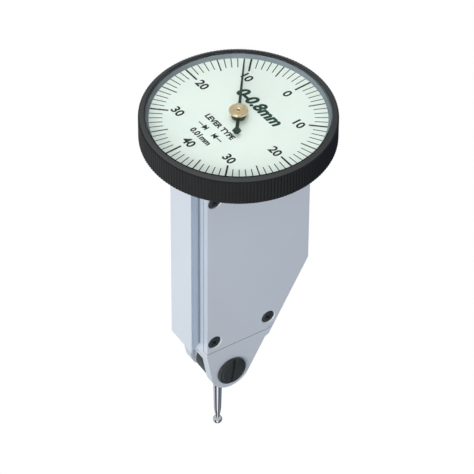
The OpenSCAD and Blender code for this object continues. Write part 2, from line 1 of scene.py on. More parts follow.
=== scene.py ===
"""Looks of a lever-type dial test indicator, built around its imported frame.

Everything is in the frame's own place and in metres: +X runs from the dovetail rail into
the body, -Y leaves the cover plate and +Z points to the dial. The sizes that the finishes and
the pieces are given by are in millimetres and are turned into metres where they are used; the
studio's are in metres, and a pattern's scale is in repeats to the metre.
"""

import json
import logging
import math
from dataclasses import dataclass
from enum import Enum
from typing import Callable, Iterable, Sequence

import bmesh
import bpy
from mathutils import Matrix, Vector


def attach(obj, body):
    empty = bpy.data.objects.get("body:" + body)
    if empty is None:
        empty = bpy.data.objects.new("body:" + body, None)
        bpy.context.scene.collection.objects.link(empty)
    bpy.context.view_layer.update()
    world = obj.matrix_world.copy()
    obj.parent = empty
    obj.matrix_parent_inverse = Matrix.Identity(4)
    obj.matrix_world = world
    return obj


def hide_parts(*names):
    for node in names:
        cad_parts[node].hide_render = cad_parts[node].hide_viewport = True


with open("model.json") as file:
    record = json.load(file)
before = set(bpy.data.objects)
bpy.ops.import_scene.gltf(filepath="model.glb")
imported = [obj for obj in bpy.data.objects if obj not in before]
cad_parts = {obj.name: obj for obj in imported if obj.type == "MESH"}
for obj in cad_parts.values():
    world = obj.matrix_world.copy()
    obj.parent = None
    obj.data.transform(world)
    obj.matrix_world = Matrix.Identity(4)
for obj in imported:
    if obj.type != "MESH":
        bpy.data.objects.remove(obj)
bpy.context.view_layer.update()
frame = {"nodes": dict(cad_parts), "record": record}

MM = 0.001
DIAL_AXIS = (13.8, 0.0)
DIAL_Z = 31.0
AXES = ((1.0, 0.0, 0.0), (0.0, 1.0, 0.0), (0.0, 0.0, 1.0))
FULL_TURN = 2 * math.pi
MERGE = 1e-6  # metres within which the points of a node's mesh are one
WELD = 1e-7  # the same for a mesh made here
NEAR = 0.01  # millimetres within which a point counts as on a face
LOG = logging.getLogger("indicator")

Colour = tuple[float, float, float]
Point = tuple[float, float]
Triple = tuple[float, float, float]
Box = tuple[Point, Point, Point]
Tree = bpy.types.NodeTree
Socket = bpy.types.NodeSocket
Material = bpy.types.Material
Object = bpy.types.Object
Mesh = bmesh.types.BMesh
Edge = bmesh.types.BMEdge
Inputs = dict[str | int, Socket | float | Triple]
Tones = list[tuple[Colour, Socket]]
EdgeTest = Callable[[Edge], bool]


class Part(Enum):
    """The moving bodies that pieces ride on."""

    BODY = "body"
    BEZEL = "bezel"
    POINTER = "pointer_group"
    STYLUS = "stylus"


class Ink(Enum):
    """The inks that the dial is printed with."""

    BLACK = "black_ink"
    GREEN = "green_ink"


class Slot(Enum):
    """The record's material slots."""

    SATIN_CHROME = "satin_chrome"
    BLACK_OXIDE = "black_oxide"
    BLACK_ANODISED = "black_anodised"
    GREY_RING = "grey_ring"
    DIAL_FACE = "dial_face"
    LENS = "lens"
    RUBBER = "rubber_seal"
    POINTER_GREEN = "pointer_green"
    BRASS = "brass_part"
    MOVEMENT_BRASS = "movement_brass"
    JEWEL = "jewel_red"
    STEEL = "steel_part"
    BLUED = "blued_spring"
    BRIGHT_CHROME = "bright_chrome"


# ---------- Effects that several finishes share, as shader node groups ----------


class Effect:
    """A shader node group under construction, with short ways to add and link its nodes."""

    def __init__(self, name: str, inputs: dict[str, float | Triple], output: str) -> None:
        """Makes the group and its sockets.

        Args:
            name: Name of the group.
            inputs: Socket names with their starting values; three numbers make a vector.
            output: Name of the one value socket that the group puts out.
        """
        self.tree = bpy.data.node_groups.new(name, "ShaderNodeTree")
        for label, value in inputs.items():
            kind = "NodeSocketVector" if isinstance(value, tuple) else "NodeSocketFloat"
            socket = self.tree.interface.new_socket(label, in_out="INPUT", socket_type=kind)
            socket.default_value = value
        self.tree.interface.new_socket(output, in_out="OUTPUT", socket_type="NodeSocketFloat")
        self.given = self.tree.nodes.new("NodeGroupInput").outputs
        self.result = self.tree.nodes.new("NodeGroupOutput").inputs

    def node(self, kind: str, inputs: Inputs | None = None, **settings: object) -> bpy.types.Node:
        """Adds a node to the group, as add_node does."""
        return add_node(self.tree, kind, inputs, **settings)

    def place(self) -> Socket:
        """The point on the surface, in the object's coordinates."""
        return self.node("ShaderNodeTexCoord").outputs["Object"]

    def vector(self, operation: str, first: Socket, second: Socket, output: int | str = 0) -> Socket:
        """The result of a vector operation on two sockets."""
        return self.node("ShaderNodeVectorMath", {0: first, 1: second}, operation=operation).outputs[output]

    def send(self, socket: Socket) -> Tree:
        """Links a socket to the group's output and gives the finished group."""
        self.tree.links.new(socket, self.result[0])
        return self.tree


def feed(tree: Tree, socket: Socket, value: Socket | float | Triple) -> None:
    """Links an input to another socket, or sets its own value.

    Args:
        tree: The node tree.
        socket: The input.
        value: A socket, a number, a vector, or a colour without its alpha.
    """
    if isinstance(value, Socket):
        tree.links.new(value, socket)
    else:
        socket.default_value = (*value, 1.0) if socket.type == "RGBA" else value


def add_node(tree: Tree, kind: str, inputs: Inputs | None = None, **settings: object) -> bpy.types.Node:
    """Adds a node to a tree, sets its properties and feeds its inputs.

    Args:
        tree: The node tree.
        kind: The node's Blender type.
        inputs: Input names or numbers with the sockets or values that feed them.
        **settings: Properties of the node, such as its operation.

    Returns:
        The new node.
    """
    node = tree.nodes.new(kind)
    for name, value in settings.items():
        setattr(node, name, value)
    for key, value in (inputs or {}).items():
        feed(tree, node.inputs[key], value)
    return node


def combine(
    tree: Tree, operation: str, first: Socket | float, second: Socket | float, clamp: bool = False
) -> Socket:
    """Adds a Math node.

    Args:
        tree: The node tree.
        operation: What it does with the two values.
        first: The first socket or number.
        second: The second socket or number.
        clamp: True to keep the result between 0 and 1.

    Returns:
        The result.
    """
    node = add_node(tree, "ShaderNodeMath", {0: first, 1: second}, operation=operation, use_clamp=clamp)
    return node.outputs[0]


def grain_effect() -> Tree:
    """Fine directional grain of a ground, cast or plated surface, as a height from 0 to 1.

    Returns:
        The group, with inputs Scale and Stretch and the output Height.
    """
    e = Effect("fine_grain", {"Scale": 9000.0, "Stretch": (1.0, 1.0, 1.0)}, "Height")
    drawn = e.vector("MULTIPLY", e.place(), e.given["Stretch"])
    values = {"Vector": drawn, "Scale": e.given["Scale"], "Detail": 3.0, "Roughness": 0.6}
    return e.send(e.node("ShaderNodeTexNoise", values).outputs["Fac"])


def blotch_effect() -> Tree:
    """Slow, cloudy variation over a surface, as from plating, handling and oil film.

    Returns:
        The group, with inputs Scale and Contrast and the output Mask, which varies about a half.
    """
    e = Effect("soft_blotch", {"Scale": 120.0, "Contrast": 2.0}, "Mask")
    values = {"Vector": e.place(), "Scale": e.given["Scale"], "Detail": 4.0, "Roughness": 0.55}
    centred = combine(e.tree, "SUBTRACT", e.node("ShaderNodeTexNoise", values).outputs["Fac"], 0.5)
    spread = combine(e.tree, "MULTIPLY", centred, e.given["Contrast"])
    return e.send(combine(e.tree, "ADD", spread, 0.5, clamp=True))


def turning_effect() -> Tree:
    """Fine rings left by a lathe about the dial's axis, as a height from 0 to 1.

    Returns:
        The group, with inputs Centre and Scale and the output Height.
    """
    centre = (DIAL_AXIS[0] * MM, DIAL_AXIS[1] * MM, 0.0)
    e = Effect("lathe_rings", {"Centre": centre, "Scale": 9000.0}, "Height")
    moved = e.vector("SUBTRACT", e.place(), e.given["Centre"])
    values = {"Vector": moved, "Scale": e.given["Scale"], "Distortion": 1.5, "Detail": 2.0}
    rings = e.node("ShaderNodeTexWave", values, wave_type="RINGS", rings_direction="Z")
    return e.send(rings.outputs["Fac"])


def wear_effect() -> Tree:
    """Worn edges: near 1 on convex edges, broken up by noise, and 0 elsewhere.

    Returns:
        The group, with inputs Start, End and Breakup and the output Mask.
    """
    e = Effect("worn_edges", {"Start": 0.53, "End": 0.6, "Breakup": 900.0}, "Mask")
    point = e.node("ShaderNodeNewGeometry").outputs["Pointiness"]
    noise = e.node("ShaderNodeTexNoise", {"Vector": e.place(), "Scale": e.given["Breakup"]}).outputs["Fac"]
    limits = {"Value": point, "From Min": e.given["Start"], "From Max": e.given["End"]}
    edges = e.node("ShaderNodeMapRange", limits).outputs[0]
    return e.send(combine(e.tree, "MULTIPLY", edges, noise))


def crevice_effect() -> Tree:
    """Narrow gaps and inner corners, where shade falls: near 1 inside them, for painting shade there.

    Returns:
        The group, with inputs Reach, Onset and Full and the output Mask. The last two are the open
        shares of the view at which the mask is 0 and 1.
    """
    e = Effect("crevice", {"Reach": 0.0006, "Onset": 0.8, "Full": 0.35}, "Mask")
    # ambient occlusion finds where the painted shade goes
    near = e.node("ShaderNodeAmbientOcclusion", {"Distance": e.given["Reach"]}, samples=8)
    limits = {"Value": near.outputs["AO"], "From Min": e.given["Onset"], "From Max": e.given["Full"]}
    return e.send(e.node("ShaderNodeMapRange", limits).outputs[0])


def band_effect() -> Tree:
    """A band between two distances along an axis, with soft edges.

    Returns:
        The group, with inputs Axis, Start, End and Soft and the output Mask.
    """
    e = Effect("band", {"Axis": (1.0, 0.0, 0.0), "Start": 0.0, "End": 0.003, "Soft": 0.00005}, "Mask")
    along = e.vector("DOT_PRODUCT", e.place(), e.given["Axis"], "Value")
    past = combine(e.tree, "SUBTRACT", along, e.given["Start"])
    left = combine(e.tree, "SUBTRACT", e.given["End"], along)
    inside = combine(e.tree, "MINIMUM", past, left)
    return e.send(combine(e.tree, "DIVIDE", inside, e.given["Soft"], clamp=True))


@dataclass(frozen=True)
class Effects:
    """The node groups that the finishes place in their materials."""

    grain: Tree
    blotch: Tree
    turning: Tree
    wear: Tree
    crevice: Tree
    band: Tree


def make_effects() -> Effects:
    """Builds each shared effect once."""
    return Effects(
        grain_effect(), blotch_effect(), turning_effect(), wear_effect(), crevice_effect(), band_effect()
    )


# ---------- Finishes ----------


class Recipe:
    """One material under construction: a Principled shader and the nodes that feed it."""

    def __init__(self, name: str, effects: Effects) -> None:
        """Starts a material with a Principled shader on its output.

        Args:
            name: Name of the material.
            effects: The shared node groups.
        """
        self.material = bpy.data.materials.new(name)
        self.material.use_nodes = True
        self.tree = self.material.node_tree
        self.effects = effects
        self.shader = self.tree.nodes["Principled BSDF"]

    def set(self, **values: Socket | float | Colour) -> None:
        """Feeds the shader's own sockets; underscores in a name stand for spaces."""
        for name, value in values.items():
            feed(self.tree, self.shader.inputs[name.replace("_", " ")], value)

    def effect(self, tree: Tree, **values: float | Triple) -> Socket:
        """Places a shared effect with this finish's own values.

        Args:
            tree: The effect's node group.
            **values: Values of its inputs.

        Returns:
            The group's one output socket.
        """
        return add_node(self.tree, "ShaderNodeGroup", values, node_tree=tree).outputs[0]

    def band(self, axis: Triple, span: Point, soft: float = 0.05) -> Socket:
        """A mask that is 1 in a band across an axis.

        Args:
            axis: Direction of the axis.
            span: Where the band starts and ends along it, in millimetres.
            soft: Width of the band's soft edges in millimetres.

        Returns:
            The mask.
        """
        start, end, edge = span[0] * MM, span[1] * MM, soft * MM
        return self.effect(self.effects.band, Axis=axis, Start=start, End=end, Soft=edge)

    def colour(self, low: Colour, high: Colour, mask: Socket, over: Tones | None = None) -> None:
        """Feeds the base colour with two tones, and with more tones laid over them.

        Args:
            low: Tone where the mask is 0.
            high: Tone where the mask is 1.
            mask: The variation over the surface.
            over: Tones and their masks, such as worn edges, in the order they are laid on.
        """
        tones = self.mix(low, high, mask)
        for tone, share in over or []:
            tones = self.mix(tones, tone, share)
        self.set(Base_Color=tones)

    def mix(self, low: Socket | Colour, high: Colour, mask: Socket) -> Socket:
        """A colour between two tones by a mask."""
        return add_node(self.tree, "ShaderNodeMix", {0: mask, 6: low, 7: high}, data_type="RGBA").outputs[2]

    def roughness(self, low: float, high: float, mask: Socket) -> None:
        """Feeds the roughness with a range driven by a mask."""
        ranged = add_node(self.tree, "ShaderNodeMapRange", {"Value": mask, "To Min": low, "To Max": high})
        self.set(Roughness=ranged.outputs[0])

    def bump(self, height: Socket, depth: float) -> None:
        """Feeds the normal from a height.

        Args:
            height: Height from 0 to 1.
            depth: Depth in millimetres that a height of 1 stands for.
        """
        values = {"Height": height, "Distance": depth * MM, "Strength": 1.0}
        self.set(Normal=add_node(self.tree, "ShaderNodeBump", values).outputs[0])


@dataclass(frozen=True)
class Finish:
    """A coated, printed or moulded surface: two cloudy tones, uneven roughness and a fine grain.

    The clouds of the tone and of the roughness are given by their scale and contrast, the worn
    edges by their tone and the limits of the pointiness, and the relief by its depth in millimetres.
    """

    slot: Slot | Ink
    light: Colour
    dark: Colour
    rough_low: float
    rough_high: float
    metallic: float = 0.0
    specular: float = 0.5
    clouds: Point = (200.0, 1.6)
    rough_clouds: Point = (700.0, 2.0)
    relief_scale: float = 12000.0
    stretch: Triple = (1.0, 1.0, 1.0)
    depth: float = 0.006
    worn: Colour | None = None
    wear: Point = (0.54, 0.64)

    def build(self, effects: Effects) -> Material:
        """Makes the material."""
        r = Recipe(self.slot.value, effects)
        r.set(Metallic=self.metallic, Specular_IOR_Level=self.specular)
        tone, rough = (
            r.effect(effects.blotch, Scale=scale, Contrast=contrast)
            for scale, contrast in (self.clouds, self.rough_clouds)
        )
        r.colour(self.dark, self.light, tone, self.tones_over(r))
        r.roughness(self.rough_low, self.rough_high, rough)
        r.bump(self.relief(r), self.depth)
        return r.material

    def relief(self, r: Recipe) -> Socket:
        """Height of the surface's fine relief."""
        return r.effect(r.effects.grain, Scale=self.relief_scale, Stretch=self.stretch)

    def tones_over(self, r: Recipe) -> Tones:
        """Tones and masks that lie over the two main tones: the worn edges, if there are any."""
        if self.worn is None:
            return []
        return [(self.worn, r.effect(r.effects.wear, Start=self.wear[0], End=self.wear[1]))]


@dataclass(frozen=True)
class MetalFinish(Finish):
    """Bare, ground or plated metal."""

    metallic: float = 1.0
    clouds: Point = (120.0, 1.6)
    rough_clouds: Point = (360.0, 1.6)
    relief_scale: float = 9000.0
    depth: float = 0.004


@dataclass(frozen=True)
class BodyFinish(MetalFinish):
    """Satin chrome of the body: painted shade on the rail's flanks and in its inner corners, and a darker
    line along the cover's parting line.
    """

    # painted shade on the rail's flanks, which face away from the key light, in a band across X
    flank: Colour = (0.585, 0.67, 0.77)
    flank_x: Point = (0.16, 2.94)
    # painted shade in inner corners and narrow gaps, laid where ambient occlusion finds them
    crevice: Colour = (0.44, 0.48, 0.53)
    seam: Colour = (0.28, 0.31, 0.34)
    seam_boxes: tuple[Box, ...] = (
        ((2.9, 30.0), (-4.04, -3.82), (-26.8, 26.0)),
        ((2.9, 30.0), (-5.6, -3.82), (-26.91, -26.72)),
    )
    seam_soft: float = 0.03

    def box(self, r: Recipe, limits: Box) -> Socket:
        """A mask that is 1 inside a box.

        Args:
            r: The material.
            limits: The box's limits along X, Y and Z in millimetres.

        Returns:
            The mask.
        """
        across, deep, high = (r.band(axis, span, self.seam_soft) for axis, span in zip(AXES, limits))
        return combine(r.tree, "MULTIPLY", combine(r.tree, "MULTIPLY", across, deep), high)

    def tones_over(self, r: Recipe) -> Tones:
        """Lays on the painted shade of the flanks and of the inner corners, and the darker tone of the
        cover's parting line.
        """
        seams = [(self.seam, self.box(r, limits)) for limits in self.seam_boxes]
        # the flanks' tone and the corners' tone are painted shade
        flank = r.band(AXES[0], self.flank_x)
        return [(self.flank, flank), (self.crevice, r.effect(r.effects.crevice)), *seams]


@dataclass(frozen=True)
class TurnedFinish(MetalFinish):
    """Lathe-turned metal with rings about the dial's axis."""

    clouds: Point = (300.0, 2.2)
    rough_clouds: Point = (900.0, 2.0)

    def relief(self, r: Recipe) -> Socket:
        """Height of the lathe's rings."""
        return r.effect(r.effects.turning, Scale=self.relief_scale)


@dataclass(frozen=True)
class BezelFinish(Finish):
    """Black anodising, with a paler tone painted on the ring's turned cone than on its knurl, as its sheen.
    """

    # painted sheen: the cone's paler tone stands in for the light it reflects
    cone: Colour = (0.045, 0.048, 0.050)
    cone_z: Point = (32.12, 33.5)

    def tones_over(self, r: Recipe) -> Tones:
        """Lays on the painted sheen of the turned cone."""
        return [(self.cone, r.band(AXES[2], self.cone_z))]


@dataclass(frozen=True)
class ClearFinish:
    """Clear polished solid: the crystal, or a ruby jewel, with faint wipe marks."""

    slot: Slot
    tint: Colour
    ior: float
    rough_low: float
    rough_high: float
    coating: float = 0.0

    def build(self, effects: Effects) -> Material:
        """Makes the material, which lets light through to what lies behind it.

        The coating is the share of the surface's reflections that it takes away.
        """
        r = Recipe(self.slot.value, effects)
        r.set(Base_Color=self.tint, IOR=self.ior, Transmission_Weight=1.0, Metallic=0.0)
        r.roughness(self.rough_low, self.rough_high, r.effect(effects.blotch, Scale=160.0, Contrast=2.4))
        values = {"Color": self.tint, "IOR": self.ior, "Roughness": 0.0}
        coated = add_node(r.tree, "ShaderNodeBsdfRefraction", values).outputs[0]
        shaders = {0: self.coating, 1: r.shader.outputs[0], 2: coated}
        surface = add_node(r.tree, "ShaderNodeMixShader", shaders).outputs[0]
        clear = add_node(r.tree, "ShaderNodeBsdfTransparent", {"Color": self.tint}).outputs[0]
        shadow = add_node(r.tree, "ShaderNodeLightPath").outputs["Is Shadow Ray"]
        both = add_node(r.tree, "ShaderNodeMixShader", {0: shadow, 1: surface, 2: clear}).outputs[0]
        feed(r.tree, r.tree.nodes["Material Output"].inputs["Surface"], both)
        return r.material


FINISHES: tuple[Finish | ClearFinish, ...] = (
    BodyFinish(
        Slot.SATIN_CHROME, (0.72, 0.765, 0.83), (0.685, 0.73, 0.795), 0.34, 0.42, metallic=0.5,
        clouds=(60.0, 1.4), rough_clouds=(180.0, 1.4), relief_scale=7000.0, stretch=(1.0, 1.0, 0.35),
        depth=0.0035,
    ),
    MetalFinish(
        Slot.BRIGHT_CHROME, (0.86, 0.865, 0.885), (0.81, 0.815, 0.835), 0.05, 0.10,
        clouds=(200.0, 1.6), rough_clouds=(600.0, 1.6), stretch=(1.0, 1.0, 6.0), depth=0.001,
    ),
    MetalFinish(
        Slot.STEEL, (0.60, 0.61, 0.64), (0.52, 0.53, 0.55), 0.25, 0.38,
        relief_scale=8000.0, stretch=(1.0, 5.0, 1.0), depth=0.003,
    ),
    MetalFinish(Slot.BLUED, (0.14, 0.22, 0.48), (0.10, 0.14, 0.34), 0.22, 0.32, relief_scale=8000.0),
    MetalFinish(
        Slot.MOVEMENT_BRASS, (0.80, 0.63, 0.33), (0.70, 0.52, 0.25), 0.22, 0.36,
        relief_scale=6000.0, stretch=(1.0, 1.0, 8.0), depth=0.003,
    ),
    TurnedFinish(Slot.BRASS, (0.97, 0.79, 0.52), (0.88, 0.67, 0.42), 0.24, 0.36, relief_scale=2200.0),
    TurnedFinish(
        Slot.GREY_RING, (0.165, 0.20, 0.225), (0.13, 0.155, 0.175), 0.42, 0.55, metallic=0.0,
        relief_scale=2600.0,
    ),
    Finish(
        Slot.BLACK_OXIDE, (0.022, 0.027, 0.028), (0.012, 0.015, 0.016), 0.32, 0.46,
        relief_scale=10000.0, depth=0.005, worn=(0.10, 0.105, 0.10),
    ),
    BezelFinish(
        Slot.BLACK_ANODISED, (0.008, 0.008, 0.008), (0.005, 0.005, 0.005), 0.40, 0.52, specular=0.27
    ),
    Finish(
        Slot.DIAL_FACE, (0.805, 0.87, 0.835), (0.78, 0.845, 0.81), 0.55, 0.68, specular=0.3,
        relief_scale=14000.0, depth=0.003,
    ),
    Finish(
        Slot.RUBBER, (0.020, 0.020, 0.021), (0.014, 0.014, 0.015), 0.6, 0.75,
        relief_scale=9000.0, depth=0.01,
    ),
    Finish(Slot.POINTER_GREEN, (0.010, 0.033, 0.022), (0.007, 0.024, 0.016), 0.34, 0.45, depth=0.002),
    *(
        Finish(
            ink, light, dark, 0.5, 0.65, specular=0.3, clouds=(1500.0, 2.0), rough_clouds=(2500.0, 2.0),
            relief_scale=16000.0, depth=0.002,
        )
        for ink, light, dark in (
            (Ink.BLACK, (0.016, 0.022, 0.019), (0.010, 0.014, 0.012)),
            (Ink.GREEN, (0.016, 0.060, 0.042), (0.010, 0.042, 0.029)),
        )
    ),
    ClearFinish(Slot.LENS, (0.985, 1.0, 0.99), 1.49, 0.0, 0.02, 0.85),
    ClearFinish(Slot.JEWEL, (0.75, 0.03, 0.10), 1.77, 0.02, 0.06),
)


# ---------- Mesh work ----------


def edge_angle(edge: Edge) -> float:
    """Angle in degrees between an edge's two faces, positive where it is convex."""
    return math.degrees(edge.calc_face_angle_signed(0.0)) if len(edge.link_faces) == 2 else 0.0


def any_edge(edge: Edge) -> bool:
    """True: the test for edges where all are wanted."""
    return True


def round_edges(
    bm: Mesh, width: float, segments: int = 2, least: float = 30.0, chosen: EdgeTest = any_edge
) -> None:
    """Bevels the convex edges that are sharper than an angle.

    Args:
        bm: The mesh.
        width: Width of the bevel in millimetres.
        segments: Number of faces across the bevel.
        least: Smallest angle, in degrees, that counts as sharp.
        chosen: Test that an edge also has to pass.
    """
    bm.normal_update()
    edges = [e for e in bm.edges if edge_angle(e) > least and chosen(e)]
    bmesh.ops.bevel(
        bm, geom=edges, offset=width * MM, offset_type="OFFSET", affect="EDGES", segments=segments,
        profile=0.5, material=-1, clamp_overlap=True, loop_slide=True,
    )


def turned(
    profile: Sequence[Point], steps: int, closed: bool = True, axis: Point = DIAL_AXIS, base: float = DIAL_Z
) -> Mesh:
    """Spins a profile a full turn about an upright axis.

    Args:
        profile: Points as radius and height above the base, in millimetres.
        steps: Number of steps around.
        closed: True if the profile is a loop, and False if both its ends are on the axis.
        axis: X and Y of the axis in millimetres.
        base: Height that the profile's heights start from.

    Returns:
        A closed mesh with its faces outward.
    """
    bm = bmesh.new()
    verts = [bm.verts.new(((axis[0] + r) * MM, axis[1] * MM, (base + h) * MM)) for r, h in profile]
    edges = [bm.edges.new(pair) for pair in zip(verts, verts[1:])]
    if closed:
        edges.append(bm.edges.new((verts[-1], verts[0])))
    bmesh.ops.spin(
        bm, geom=verts + edges, cent=(axis[0] * MM, axis[1] * MM, 0.0), axis=(0.0, 0.0, 1.0),
        angle=FULL_TURN, steps=steps, use_merge=True, use_duplicate=False,
    )
    bmesh.ops.remove_doubles(bm, verts=bm.verts, dist=WELD)
    bmesh.ops.recalc_face_normals(bm, faces=bm.faces)
    return bm


def facing(way: Vector) -> Matrix:
    """A turn that points -Z along a direction and keeps Y up."""
    return way.to_track_quat("-Z", "Y").to_matrix().to_4x4()


def block(bm: Mesh, size: Triple, place: Matrix) -> None:
    """Adds a box of a size in millimetres, placed by a matrix in metres."""
    scale = Matrix.Diagonal((size[0] * MM, size[1] * MM, size[2] * MM, 1.0))
    bmesh.ops.create_cube(bm, size=1.0, matrix=place @ scale)


def lettering(words: str, height: float, weight: float, shear: float) -> bpy.types.Mesh:
    """Makes raised letters, centred on the origin and lying in the X-Y plane.

    Args:
        words: The letters.
        height: Height of the tallest letter in millimetres.
        weight: Extra thickness of the strokes, as a share of the letters' size.
        shear: Slant of the letters.

    Returns:
        A mesh one unit thick in Z.
    """
    curve = bpy.data.curves.new("lettering", "FONT")
    curve.body = words
    curve.offset = weight
    curve.shear = shear
    curve.extrude = 0.5
    curve.resolution_u = 4
    maker = bpy.data.objects.new("lettering", curve)
    bpy.context.scene.collection.objects.link(maker)
    bpy.context.view_layer.update()
    mesh = bpy.data.meshes.new_from_object(maker.evaluated_get(bpy.context.evaluated_depsgraph_get()))
    bpy.data.objects.remove(maker)
    bpy.data.curves.remove(curve)
    low = Vector(min(v.co[i] for v in mesh.vertices) for i in range(3))
    high = Vector(max(v.co[i] for v in mesh.vertices) for i in range(3))
    scale = height * MM / (high.y - low.y)
    mesh.transform(Matrix.Diagonal((scale, scale, 1.0, 1.0)) @ Matrix.Translation(-(low + high) / 2))
    return mesh


@dataclass(frozen=True)
class Workshop:
    """Turns finished meshes into pieces and dresses the frame's own nodes.

    Edges above the angle sharp are shaded sharp, and neighbouring triangles of a node whose angle
    is below flat are joined; both are in degrees.
    """

    nodes: dict[str, Object]
    materials: dict[str, Material]
    slot_of: dict[str, str]
    sharp: float = 35.0
    flat: float = 0.4

    def piece(
        self, name: str, bm: Mesh, part: Part, slot: Slot, stands_for: Sequence[str] = (),
        ink: Ink | None = None, even: bool = True,
    ) -> Object:
        """Makes a piece that rides on a body.

        Args:
            name: Name of the piece.
            bm: Its mesh in the frame's place, which is freed.
            part: The body that it rides on.
            slot: The material slot that its finish comes from.
            stands_for: The frame's nodes that it replaces.
            ink: The ink that it is printed in, if it is.
            even: True to weigh the shading by face area, so that flat faces stay flat.

        Returns:
            The new object.
        """
        bm.normal_update()
        for face in bm.faces:
            face.smooth = True
        for edge in bm.edges:
            edge.smooth = abs(edge_angle(edge)) < self.sharp
        mesh = bpy.data.meshes.new(name)
        bm.to_mesh(mesh)
        bm.free()
        mesh.materials.append(self.materials[(ink or slot).value])
        made = bpy.data.objects.new(name, mesh)
        bpy.context.scene.collection.objects.link(made)
        if even:
            weighted = made.modifiers.new("even_shading", "WEIGHTED_NORMAL")
            weighted.keep_sharp = True
        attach(made, part.value)
        if stands_for:
            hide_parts(*stands_for)
        LOG.info("%s: %d faces, rides on %s", name, len(mesh.polygons), part.value)
        return made

    def copy_of(self, node: str) -> Mesh:
        """Copies a node's mesh, merges it and joins its flat triangles into whole faces.

        Args:
            node: The frame's node.

        Returns:
            The copied mesh.
        """
        bm = bmesh.new()
        bm.from_mesh(self.nodes[node].data)
        bmesh.ops.remove_doubles(bm, verts=bm.verts, dist=MERGE)
        bmesh.ops.dissolve_limit(
            bm, angle_limit=math.radians(self.flat), verts=bm.verts, edges=bm.edges,
            use_dissolve_boundaries=False,
        )
        return bm

    def rounded_copy(
        self, name: str, node: str, part: Part, slot: Slot, width: float, segments: int = 2,
        least: float = 30.0, chosen: EdgeTest = any_edge,
    ) -> Object:
        """Makes a piece from a node's shape with its sharp edges broken.

        Args:
            name: Name of the piece.
            node: The frame's node.
            part: The body that it rides on.
            slot: The material slot of its finish.
            width: Width of the broken edges in millimetres.
            segments: Number of faces across each.
            least: Smallest angle that is broken, in degrees.
            chosen: Test that an edge also has to pass.

        Returns:
            The new object.
        """
        bm = self.copy_of(node)
        round_edges(bm, width, segments, least, chosen)
        bmesh.ops.triangulate(bm, faces=[f for f in bm.faces if len(f.verts) > 4])
        return self.piece(name, bm, part, slot, [node])

    def dress(self, names: Iterable[str], slot: Slot | None = None) -> None:
        """Gives nodes that keep their own meshes a finish.

        Args:
            names: The frame's nodes.
            slot: The finish, if it isn't that of each node's own slot.
        """
        for name in names:
            finish = slot.value if slot else self.slot_of[name]
            mesh = self.nodes[name].data
            mesh.materials.clear()
            mesh.materials.append(self.materials[finish])
            LOG.info("%s: keeps its mesh, %s", name, finish)


# ---------- Sub-assemblies ----------


@dataclass(frozen=True)
class BodyCasting:
    """The chromed body with its dovetail rail, the cover plate and their screws."""

    casting_edge: float = 0.16
    cover_edge: float = 0.2
    screw_edge: float = 0.05
    pivot_screw_edge: float = 0.08
    head_z: float = 26.0
    pocket_x: Point = (4.5, 27.5)
    pocket_y: Point = (-4.0, 4.0)
    pocket_z: float = -22.0

    def outside(self, edge: Edge) -> bool:
        """True for an edge below the head that isn't in the pocket, its seat or its holes."""
        middle = (edge.verts[0].co + edge.verts[1].co) / 2 / MM
        in_x = self.pocket_x[0] < middle.x < self.pocket_x[1]
        in_y = self.pocket_y[0] - NEAR < middle.y < self.pocket_y[1] + NEAR
        return middle.z < self.head_z and not (in_x and in_y and middle.z > self.pocket_z)

    def build(self, shop: Workshop) -> None:
        """Builds the pieces of the body."""
        chrome, black = (Part.BODY, Slot.SATIN_CHROME), (Part.BODY, Slot.BLACK_OXIDE)
        soft = {"segments": 3, "least": 24.0}
        shop.rounded_copy(
            "body_casting", "housing", *chrome, self.casting_edge, chosen=self.outside, **soft
        )
        shop.rounded_copy("cover", "cover_plate", *chrome, self.cover_edge, **soft)
        shop.rounded_copy("cover_screw_heads", "cover_screws", *black, self.screw_edge)
        shop.rounded_copy("lever_pivot_screws", "pivot_screws", *black, self.pivot_screw_edge)


